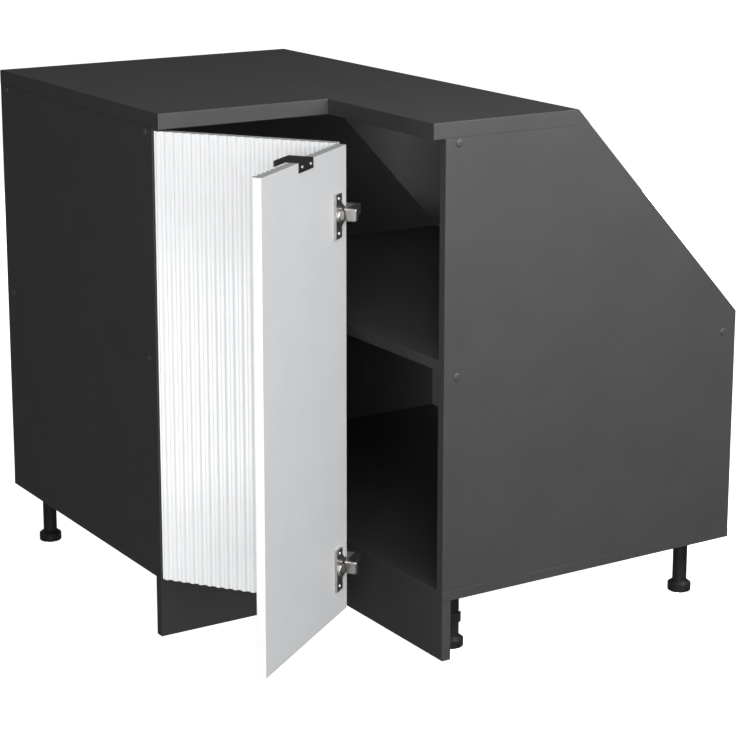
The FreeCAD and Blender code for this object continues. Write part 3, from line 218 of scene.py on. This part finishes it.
anthracite = grained(
    "anthracite_melamine",
    dark=(0.056, 0.058, 0.057),
    light=(0.061, 0.063, 0.062),
    rough=(0.46, 0.56),
    scale=1400,
    strength=0.12,
    depth=0.0002,
)
white_lacquer = grained(
    "white_lacquer",
    dark=grey(0.73, -0.012),
    light=grey(0.75, -0.012),
    rough=(0.14, 0.2),
    scale=420,
    strength=0.02,
    depth=0.0002,
)
white_back = grained(
    "white_melamine",
    dark=grey(0.73, -0.015),
    light=grey(0.75, -0.015),
    rough=(0.42, 0.5),
    scale=1200,
    strength=0.08,
    depth=0.0002,
)
# Upright leaf ends: the door white painted lighter than the lacquer, a painted highlight standing in for
# the light that catches these end faces.
white_edge_painted_lit = grained(
    "white_edge_band_painted_lit",
    dark=grey(0.87, -0.004),
    light=grey(0.89, -0.004),
    rough=(0.2, 0.28),
    scale=900,
    strength=0.03,
    depth=0.0002,
)
nickel = grained(
    "nickel_plate",
    dark=(0.5, 0.49, 0.47),
    light=(0.56, 0.55, 0.53),
    rough=(0.3, 0.38),
    scale=900,
    strength=0.02,
    depth=0.0001,
    metallic=1.0,
    cloud=60,
)
zinc = grained(
    "zinc_plate",
    dark=(0.56, 0.57, 0.59),
    light=(0.66, 0.67, 0.69),
    rough=(0.26, 0.42),
    scale=900,
    strength=0.06,
    depth=0.0001,
    metallic=1.0,
    cloud=120,
)
black_coat = grained(
    "black_powder_coat",
    dark=grey(0.006),
    light=grey(0.009),
    rough=(0.46, 0.6),
    scale=2600,
    strength=0.25,
    depth=0.0002,
)
black_plastic = grained(
    "black_plastic",
    dark=grey(0.014),
    light=grey(0.02),
    rough=(0.36, 0.5),
    scale=1800,
    strength=0.15,
    depth=0.0002,
)
cap_plastic = grained(
    "grey_cap_plastic",
    dark=(0.064, 0.066, 0.065),
    light=(0.07, 0.072, 0.071),
    rough=(0.26, 0.34),
    scale=900,
    strength=0.05,
    depth=0.0001,
)
beech = grained(
    "beech",
    dark=(0.52, 0.36, 0.22),
    light=(0.66, 0.49, 0.32),
    rough=(0.5, 0.62),
    scale=700,
    strength=0.2,
    depth=0.0002,
    cloud=90,
)

FINISHES = {
    "carcass_board": anthracite,
    "door_board": white_lacquer,
    "nickel_steel": nickel,
    "zinc_screw": zinc,
    "handle_metal": black_coat,
    "leg_plastic": black_plastic,
    "cap_plastic": cap_plastic,
    "beech_dowel": beech,
}
for subpart in frame["record"]["subparts"]:
    slots = nodes[subpart["node"]].data.materials
    slots.clear()
    slots.append(FINISHES[subpart["material_slot"]])


# Pieces


def link_piece(name, mesh):
    piece = bpy.data.objects.new(name, mesh)
    scene.collection.objects.link(piece)
    return piece


def shade(mesh, crease=math.radians(28)):
    """Smooth faces with hard lines wherever the surface turns by more than the crease."""
    work = bmesh.new()
    work.from_mesh(mesh)
    for face in work.faces:
        face.smooth = True
    for edge in work.edges:
        if len(edge.link_faces) == 2:
            edge.smooth = edge.calc_face_angle() < crease
    work.to_mesh(mesh)
    work.free()


def outward(mesh):
    work = bmesh.new()
    work.from_mesh(mesh)
    bmesh.ops.remove_doubles(work, verts=work.verts, dist=TOUCHING)
    bmesh.ops.recalc_face_normals(work, faces=work.faces)
    work.to_mesh(mesh)
    work.free()


def settled(name, maker):
    """The plain mesh of an object with its modifiers, as a new object; the maker goes."""
    scene.view_layers[0].update()
    depsgraph = bpy.context.evaluated_depsgraph_get()
    mesh = bpy.data.meshes.new_from_object(maker.evaluated_get(depsgraph), depsgraph=depsgraph)
    mesh.name = name
    bpy.data.objects.remove(maker)
    return link_piece(name, mesh)


def hand_over(piece, body, slot, *replaced):
    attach(piece, body)
    if replaced:
        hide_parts(*replaced)


def turned(name, profile, steps):
    """A mesh turned round z from points (radius, height), first and last on the axis."""
    work = bmesh.new()
    points = [work.verts.new((radius, 0, height)) for radius, height in profile]
    edges = [work.edges.new(pair) for pair in zip(points, points[1:])]
    bmesh.ops.spin(
        work,
        geom=points + edges,
        axis=(0, 0, 1),
        cent=(0, 0, 0),
        angle=2 * math.pi,
        steps=steps,
        use_merge=True,
    )
    bmesh.ops.remove_doubles(work, verts=work.verts, dist=TOUCHING)
    bmesh.ops.recalc_face_normals(work, faces=work.faces)
    mesh = bpy.data.meshes.new(name)
    work.to_mesh(mesh)
    work.free()
    return mesh


def block(low, high):
    mesh = bpy.data.meshes.new("block")
    work = bmesh.new()
    bmesh.ops.create_cube(work, size=1)
    low, high = Vector(low), Vector(high)
    place = Matrix.Translation((low + high) / 2) @ Matrix.Diagonal((*(high - low), 1))
    bmesh.ops.transform(work, matrix=place, verts=work.verts)
    work.to_mesh(mesh)
    work.free()
    return mesh


def carve(piece_name, mesh, cutters):
    """A mesh with other meshes cut out of it."""
    maker = link_piece(piece_name + "_blank", mesh)
    tools = []
    for index, cutter in enumerate(cutters):
        tool = link_piece(f"{piece_name}_cutter_{index}", cutter)
        cut = maker.modifiers.new("cut", "BOOLEAN")
        cut.operation = "DIFFERENCE"
        cut.solver = "EXACT"
        cut.object = tool
        tools.append(tool)
    piece = settled(piece_name, maker)
    for tool in tools:
        bpy.data.objects.remove(tool)
    return piece


# Node trees: flutes of a leaf, and pieces set out on points


def tree_socket(tree, name, kind, out=False):
    return tree.interface.new_socket(name, in_out="OUTPUT" if out else "INPUT", socket_type=kind)


def new_tree(name, inputs):
    tree = bpy.data.node_groups.new(name, "GeometryNodeTree")
    tree_socket(tree, "Geometry", "NodeSocketGeometry", out=True)
    keys = {label: tree_socket(tree, label, kind).identifier for label, kind in inputs.items()}
    return tree, keys


def math_node(tree, operation, *values):
    node = add_node(tree, "ShaderNodeMath", operation=operation)
    for socket, value in zip(node.inputs, values):
        if isinstance(value, (int, float)):
            socket.default_value = value
        else:
            tree.links.new(value, socket)
    return node.outputs[0]


def end_tree(tree, geometry, finish):
    real = add_node(tree, "GeometryNodeRealizeInstances")
    paint = add_node(tree, "GeometryNodeSetMaterial")
    last = add_node(tree, "NodeGroupOutput")
    tree.links.new(geometry, real.inputs["Geometry"])
    tree.links.new(real.outputs["Geometry"], paint.inputs["Geometry"])
    tree.links.new(finish, paint.inputs["Material"])
    tree.links.new(paint.outputs["Geometry"], last.inputs["Geometry"])


def flute_tree():
    """A leaf as a closed slab: its front is a row of ribs with soft flanks, its back is flat."""
    inputs = {
        "Width": "NodeSocketFloat",
        "Low": "NodeSocketFloat",
        "High": "NodeSocketFloat",
        "Start": "NodeSocketFloat",
        "Face": "NodeSocketFloat",
        "Back": "NodeSocketFloat",
        "Rib Count": "NodeSocketInt",
        "Rib Steps": "NodeSocketInt",
        "Rib Height": "NodeSocketFloat",
        "Crest Share": "NodeSocketFloat",
        "Foot Share": "NodeSocketFloat",
        "Material": "NodeSocketMaterial",
    }
    tree, keys = new_tree("fluted_leaf", inputs)
    given = add_node(tree, "NodeGroupInput").outputs
    tall = math_node(tree, "SUBTRACT", given["High"], given["Low"])
    columns = math_node(tree, "MULTIPLY", given["Rib Count"], given["Rib Steps"])
    grid = add_node(tree, "GeometryNodeMeshGrid")
    grid.inputs["Vertices Y"].default_value = 2
    tree.links.new(given["Width"], grid.inputs["Size X"])
    tree.links.new(tall, grid.inputs["Size Y"])
    tree.links.new(math_node(tree, "ADD", columns, 1), grid.inputs["Vertices X"])

    here = add_node(tree, "ShaderNodeSeparateXYZ")
    tree.links.new(add_node(tree, "GeometryNodeInputPosition").outputs[0], here.inputs[0])
    along = math_node(tree, "ADD", here.outputs["X"], math_node(tree, "MULTIPLY", given["Width"], 0.5))
    pitch = math_node(tree, "DIVIDE", given["Width"], given["Rib Count"])
    half_pitch = math_node(tree, "MULTIPLY", pitch, 0.5)
    in_rib = math_node(tree, "FLOORED_MODULO", along, pitch)
    aside = math_node(tree, "SUBTRACT", in_rib, half_pitch)
    share = math_node(tree, "ABSOLUTE", math_node(tree, "DIVIDE", aside, half_pitch))
    flank = add_node(tree, "ShaderNodeMapRange", interpolation_type="SMOOTHSTEP")
    flank.inputs["To Min"].default_value = 1
    flank.inputs["To Max"].default_value = 0
    tree.links.new(share, flank.inputs["Value"])
    tree.links.new(given["Crest Share"], flank.inputs["From Min"])
    tree.links.new(given["Foot Share"], flank.inputs["From Max"])
    crest = math_node(tree, "MULTIPLY", flank.outputs["Result"], given["Rib Height"])
    middle = math_node(tree, "MULTIPLY", math_node(tree, "ADD", given["Low"], given["High"]), 0.5)

    front_point = add_node(tree, "ShaderNodeCombineXYZ")
    tree.links.new(math_node(tree, "ADD", along, given["Start"]), front_point.inputs["X"])
    tree.links.new(math_node(tree, "SUBTRACT", given["Face"], crest), front_point.inputs["Y"])
    tree.links.new(math_node(tree, "ADD", here.outputs["Y"], middle), front_point.inputs["Z"])
    front = add_node(tree, "GeometryNodeSetPosition")
    tree.links.new(grid.outputs["Mesh"], front.inputs["Geometry"])
    tree.links.new(front_point.outputs[0], front.inputs["Position"])

    body = add_node(tree, "GeometryNodeExtrudeMesh")
    body.inputs["Individual"].default_value = False
    body.inputs["Offset Scale"].default_value = CORE_THICK
    to_back = add_node(tree, "ShaderNodeCombineXYZ")
    to_back.inputs["Y"].default_value = 1
    tree.links.new(to_back.outputs[0], body.inputs["Offset"])
    tree.links.new(front.outputs["Geometry"], body.inputs["Mesh"])
    there = add_node(tree, "ShaderNodeSeparateXYZ")
    tree.links.new(add_node(tree, "GeometryNodeInputPosition").outputs[0], there.inputs[0])
    back_point = add_node(tree, "ShaderNodeCombineXYZ")
    tree.links.new(there.outputs["X"], back_point.inputs["X"])
    tree.links.new(given["Back"], back_point.inputs["Y"])
    tree.links.new(there.outputs["Z"], back_point.inputs["Z"])
    flat = add_node(tree, "GeometryNodeSetPosition")
    tree.links.new(body.outputs["Mesh"], flat.inputs["Geometry"])
    tree.links.new(body.outputs["Top"], flat.inputs["Selection"])
    tree.links.new(back_point.outputs[0], flat.inputs["Position"])

    both = add_node(tree, "GeometryNodeJoinGeometry")
    tree.links.new(front.outputs["Geometry"], both.inputs["Geometry"])
    tree.links.new(flat.outputs["Geometry"], both.inputs["Geometry"])
    weld = add_node(tree, "GeometryNodeMergeByDistance")
    weld.inputs["Distance"].default_value = TOUCHING
    tree.links.new(both.outputs["Geometry"], weld.inputs["Geometry"])
    end_tree(tree, weld.outputs["Geometry"], given["Material"])
    return tree, keys


def spots_tree():
    """One shape set out on every point, all turned the same way."""
    inputs = {
        "Points": "NodeSocketGeometry",
        "Shape": "NodeSocketObject",
        "Turn": "NodeSocketVector",
        "Material": "NodeSocketMaterial",
    }
    tree, keys = new_tree("set_out_on_points", inputs)
    given = add_node(tree, "NodeGroupInput").outputs
    shape = add_node(tree, "GeometryNodeObjectInfo")
    tree.links.new(given["Shape"], shape.inputs["Object"])
    put = add_node(tree, "GeometryNodeInstanceOnPoints")
    tree.links.new(given["Points"], put.inputs["Points"])
    tree.links.new(shape.outputs["Geometry"], put.inputs["Instance"])
    tree.links.new(given["Turn"], put.inputs["Rotation"])
    end_tree(tree, put.outputs["Instances"], given["Material"])
    return tree, keys


FLUTES, FLUTE_KEYS = flute_tree()
SPOTS, SPOT_KEYS = spots_tree()


def set_out(name, shape, spots, out, finish):
    """Copies of a shape at spots, its z axis turned to face out, as one plain mesh."""
    stamp = link_piece(name + "_shape", shape.copy())
    points = bpy.data.meshes.new(name + "_points")
    points.from_pydata([tuple(spot) for spot in spots], [], [])
    maker = link_piece(name + "_points", points)
    layout = maker.modifiers.new("set_out", "NODES")
    layout.node_group = SPOTS
    layout[SPOT_KEYS["Shape"]] = stamp
    layout[SPOT_KEYS["Turn"]] = tuple(out.to_track_quat("Z", "Y").to_euler())
    layout[SPOT_KEYS["Material"]] = finish
    piece = settled(name, maker)
    bpy.data.objects.remove(stamp)
    shade(piece.data)
    return piece


# Doors


def fluted_leaf(name, place, node, heights):
    """A leaf in its place, with a recess in its back for a hinge at each height."""
    low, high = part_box(node)
    maker = link_piece(name + "_flutes", bpy.data.meshes.new(name + "_flutes"))
    flutes = maker.modifiers.new("flutes", "NODES")
    flutes.node_group = FLUTES
    values = {
        "Width": LEAF_WIDTH,
        "Low": low.z,
        "High": high.z,
        "Start": -PIN_EDGE,
        "Face": PIN_DEPTH - CORE_THICK,
        "Back": PIN_DEPTH,
        "Rib Count": RIBS,
        "Rib Steps": RIB_STEPS,
        "Rib Height": RIB_HEIGHT,
        "Crest Share": CREST_SHARE,
        "Foot Share": FOOT_SHARE,
        "Material": white_lacquer,
    }
    for label, value in values.items():
        flutes[FLUTE_KEYS[label]] = value
    slab = settled(name + "_slab", maker)
    mesh = slab.data
    bpy.data.objects.remove(slab)
    outward(mesh)
    cutters = []
    cup_profile = [(0, -CUP_SUNK), (CUP_RECESS, -CUP_SUNK), (CUP_RECESS, CUTTER_PROUD), (0, CUTTER_PROUD)]
    face_back = Matrix.Rotation(-math.pi / 2, 4, "X")
    for height in heights:
        cup = turned("cup", cup_profile, CUP_SIDES)
        cup.transform(Matrix.Translation((CUP_MIDDLE, PIN_DEPTH, height)) @ face_back)
        cutters.append(cup)
        nose_low = (-NOSE_REACH, PIN_DEPTH - CUP_SUNK, height - NOSE_HALF)
        nose_high = (CUP_MIDDLE, PIN_DEPTH + CUTTER_PROUD, height + NOSE_HALF)
        cutters.append(block(nose_low, nose_high))
    leaf = carve(name, mesh, cutters)
    leaf.data.materials.clear()
    for finish in (white_lacquer, white_back, white_edge_painted_lit):
        leaf.data.materials.append(finish)
    # Back faces take the back melamine; upright end faces take the lighter white, which is a painted
    # highlight.
    for face in leaf.data.polygons:
        if face.normal.y > BACK_FACING:
            face.material_index = 1
        elif abs(face.normal.x) > END_FACING:
            face.material_index = 2
    leaf.data.transform(place)
    shade(leaf.data)
    return leaf


def hinge_heights(node):
    return [sum(point.z for point in points) / len(points) for points in islands(node)]


leaf_1 = fluted_leaf("door_1_leaf", door_1_frame, "door_1", hinge_heights("door_1_hinge_pins"))
hand_over(leaf_1, "door_1", "door_board", "door_1")
leaf_2 = fluted_leaf("door_2_leaf", door_2_frame, "door_2", hinge_heights("door_2_hinge_pins"))
hand_over(leaf_2, "door_2", "door_board", "door_2")


# Screws, caps and nails


def cross_screw(name, profile, arm_reach, arm_half, arm_deep):
    """A turned screw with its head's face at z 0 and a cross recess in it."""
    arms = []
    for long, wide in ((arm_reach, arm_half), (arm_half, arm_reach)):
        arms.append(block((-long, -wide, -arm_deep), (long, wide, RECESS_PROUD)))
    piece = carve(name, turned(name + "_blank", profile, SCREW_SIDES), arms)
    mesh = piece.data
    bpy.data.objects.remove(piece)
    return mesh


PAN_HEAD_SCREW = [
    (0, -0.0116),
    (0.0008, -0.0116),
    (0.0017, -0.0096),
    (0.0017, -0.0016),
    (0.0032, -0.0016),
    (0.0032, -0.0010),
    (0.0028, -0.0004),
    (0.0020, -0.0001),
    (0, 0),
]
SUNK_HEAD_SCREW = [
    (0, -0.030),
    (0.0025, -0.030),
    (0.0025, -0.004),
    (0.004, -0.004),
    (0.004, 0),
    (0, 0),
]
PANEL_NAIL = [
    (0, -0.006),
    (0.0007, -0.006),
    (0.0007, -0.0004),
    (0.0017, -0.0002),
    (0.0014, 0.00003),
    (0, 0.00005),
]


def cap_shape():
    """Domed cover cap with a soft rim, its crown at z 0."""
    rim, tall, upright, steps = 0.0065, 0.0024, 0.0006, 9
    profile = [(0, -tall), (rim, -tall), (rim, -tall + upright)]
    for step in range(1, steps):
        turn = math.radians(90 * step / steps)
        profile.append((rim * math.cos(turn), -tall + upright + (tall - upright) * math.sin(turn)))
    profile.append((0, 0))
    return turned("cover_cap", profile, CAP_SIDES)


TO_RIGHT = Vector((1, 0, 0))
TO_BACK = Vector((0, 1, 0))
UP = Vector((0, 0, 1))
small_screw = cross_screw("small_screw", PAN_HEAD_SCREW, arm_reach=0.0019, arm_half=0.0004, arm_deep=0.0009)
sunk_screw = cross_screw("sunk_screw", SUNK_HEAD_SCREW, arm_reach=0.0026, arm_half=0.0005, arm_deep=0.0018)
cover_cap = cap_shape()
panel_nail = turned("panel_nail", PANEL_NAIL, NAIL_SIDES)

SCREW_GROUPS = [
    ("door_1_cup_screws", door_1_out, "door_1"),
    ("door_2_cup_screws", door_2_out, "door_2"),
    ("handle_screws", door_2_out, "door_2"),
    ("door_1_plate_screws", TO_RIGHT, "carcass"),
    ("door_2_plate_screws", -door_2_along, "door_1"),
    ("leg_screws", -UP, "carcass"),
]
for node, out, body in SCREW_GROUPS:
    heads = set_out(node + "_cross_head", small_screw, heads_of(node, out), out, zinc)
    hand_over(heads, body, "zinc_screw", node)
for node in ("base_screws", "worktop_screws"):
    heads = set_out(node + "_cross_head", sunk_screw, heads_of(node, -UP), -UP, zinc)
    hand_over(heads, "carcass", "zinc_screw", node)
for node, out in (("right_cover_caps", -TO_BACK), ("left_cover_caps", -TO_RIGHT)):
    caps = set_out(node + "_domed", cover_cap, heads_of(node, out), out, cap_plastic)
    hand_over(caps, "carcass", "cap_plastic", node)


def along(start, end, count):
    return [start.lerp(end, (step + 0.5) / count) for step in range(count)]


def nail_rows(foot, head, count):
    """Two rows of nails from foot to head, one in each rebate of the thin panels."""
    low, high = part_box("knee_panel")
    rows = []
    for row in (low.y + NAIL_INSET, high.y - NAIL_INSET):
        rows += along(Vector((foot.x, row, foot.z)), Vector((head.x, row, head.z)), count)
    return rows


def slope_ends():
    """The slope panel's outer face: its lower and its upper edge."""
    points = islands("slope_panel")[0]
    right = max(point.x for point in points)
    top = max(point.z for point in points)
    low_edge = max((point for point in points if point.x > right - ON_EDGE), key=lambda point: point.z)
    high_edge = max((point for point in points if point.z > top - ON_EDGE), key=lambda point: point.x)
    return low_edge, high_edge


slope_foot, slope_head = slope_ends()
knee_foot = Vector((slope_foot.x, 0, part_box("knee_panel")[0].z))
slope_run = slope_head - slope_foot
slope_out = Vector((slope_run.z, 0, -slope_run.x)).normalized()
for name, foot, head, count, out in (
    ("knee_panel_nails", knee_foot, slope_foot, 4, TO_RIGHT),
    ("slope_panel_nails", slope_foot, slope_head, 5, slope_out),
):
    nails = set_out(name, panel_nail, nail_rows(foot, head, count), out, zinc)
    hand_over(nails, "carcass", "zinc_screw")


# Floor, light and camera


def floor():
    """A pale floor, lit evenly, that throws no light back on the cabinet."""
    reach = 30
    corners = [(-reach, -reach, 0), (reach, -reach, 0), (reach, reach, 0), (-reach, reach, 0)]
    mesh = bpy.data.meshes.new("floor")
    mesh.from_pydata(corners, [], [(0, 1, 2, 3)])
    finish, shader = new_finish("pale_floor", 0.8)
    shader.inputs["Base Color"].default_value = (0.9, 0.9, 0.9, 1)
    shader.inputs["Emission Color"].default_value = (1, 1, 1, 1)
    shader.inputs["Emission Strength"].default_value = 0.97
    mesh.materials.append(finish)
    piece = link_piece("floor", mesh)
    piece.visible_diffuse = False
    piece.visible_glossy = False


def soft_light(name, place, aim, size, power, only=(), spared=(), glare=True):
    """A soft box of a width and height; it may light only some pieces, or spare some."""
    lamp = bpy.data.lights.new(name, "AREA")
    lamp.shape = "RECTANGLE"
    lamp.size, lamp.size_y = size
    lamp.energy = power
    holder = bpy.data.objects.new(name, lamp)
    holder.location = place
    holder.rotation_euler = (Vector(aim) - Vector(place)).to_track_quat("-Z", "Y").to_euler()
    holder.visible_glossy = glare
    scene.collection.objects.link(holder)
    if only or spared:
        listed = bpy.data.collections.new(name + "_pieces")
        for piece in (*only, *spared):
            listed.objects.link(piece)
        for link in listed.collection_objects:
            link.light_linking.link_state = "INCLUDE" if only else "EXCLUDE"
        holder.light_linking.receiver_collection = listed


def world_light(strength):
    """Weak light from all round, with a white backdrop past the edge of the floor."""
    world = bpy.data.worlds.new("studio")
    world.use_nodes = True
    tree = world.node_tree
    all_round = tree.nodes["Background"]
    all_round.inputs["Color"].default_value = (1, 1, 1, 1)
    all_round.inputs["Strength"].default_value = strength
    backdrop = add_node(tree, "ShaderNodeBackground")
    backdrop.inputs["Color"].default_value = (1, 1, 1, 1)
    either = add_node(tree, "ShaderNodeMixShader")
    tree.links.new(add_node(tree, "ShaderNodeLightPath").outputs["Is Camera Ray"], either.inputs["Fac"])
    tree.links.new(all_round.outputs[0], either.inputs[1])
    tree.links.new(backdrop.outputs[0], either.inputs[2])
    tree.links.new(either.outputs[0], tree.nodes["World Output"].inputs["Surface"])
    scene.world = world


def photo_camera():
    lens_px, frame_px, sensor = 2225, 736, 36
    camera = bpy.data.cameras.new("photo_camera")
    camera.sensor_width = sensor
    camera.lens = lens_px / frame_px * sensor
    camera.shift_x, camera.shift_y = 0.01, -0.12
    camera.dof.use_dof = False
    camera.clip_end = 200
    yaw, pitch = math.radians(32.025), math.radians(12.874)
    holder = bpy.data.objects.new("photo_camera", camera)
    holder.location = (-1.9206, -3.0714, 1.3537)
    holder.rotation_euler = (math.pi / 2 - pitch, 0, -yaw)
    scene.collection.objects.link(holder)
    scene.camera = holder


scene.view_settings.view_transform = "Standard"
floor()
world_light(0.115)
leaves = (leaf_1, leaf_2)
thin_panels = (nodes["slope_panel"], nodes["knee_panel"])
soft_light("key", (0.9, -1.9, 2.6), (0.3, -0.3, 0.7), (1.4, 1.0), 28)
soft_light("panel_fill", (0.25, -1.4, 1.25), (0.2, -0.39, 0.6), (2.2, 0.4), 16.5, spared=leaves)
soft_light("front_fill", (-0.85, -3.5, 1.15), (-0.1, -0.1, 0.45), (1.6, 1.4), 26)
soft_light("left_fill", (-2.2, -3.0, 1.2), (0.0, 0.0, 0.45), (0.8, 0.8), 36)
soft_light("high_fill", (-1.0, -1.6, 2.2), (0.0, 0.0, 0.5), (0.6, 0.6), 4)
soft_light("door_wash", (-1.12, -1.1, 0.4), (-0.33, -0.2, 0.42), (2.4, 1.4), 16.2, (leaf_1,))
soft_light("edge_wash", (-2.2, -1.75, 0.5), (-0.42, -0.46, 0.42), (1.2, 1.2), 20, (leaf_2,))
soft_light("low_door_wash", (-1.4, -0.2, 0.15), (-0.33, -0.2, 0.25), (0.8, 0.5), 3.6, leaves)
soft_light("slope_wash", (-1.9, -3.0, 0.35), (0.3, 0.38, 0.6), (0.6, 0.4), 250, thin_panels)
soft_light("shelf_wash", (-1.5, -2.4, 1.9), (0.1, 0.1, 0.48), (0.5, 0.4), 17, (nodes["shelf"],))
soft_light("back_fill", (2.3, 2.9, 0.42), (0.2, 0.2, 0.42), (2.0, 0.8), 120, glare=False)
soft_light("leaf_back_wash", (1.1, -2.4, 0.5), (-0.36, -0.42, 0.42), (1.0, 1.0), 14, (leaf_2,))
soft_light("back_door_wash", (-2.0, 1.6, 0.6), (-0.4, -0.3, 0.45), (1.2, 1.2), 12, leaves)
photo_camera()
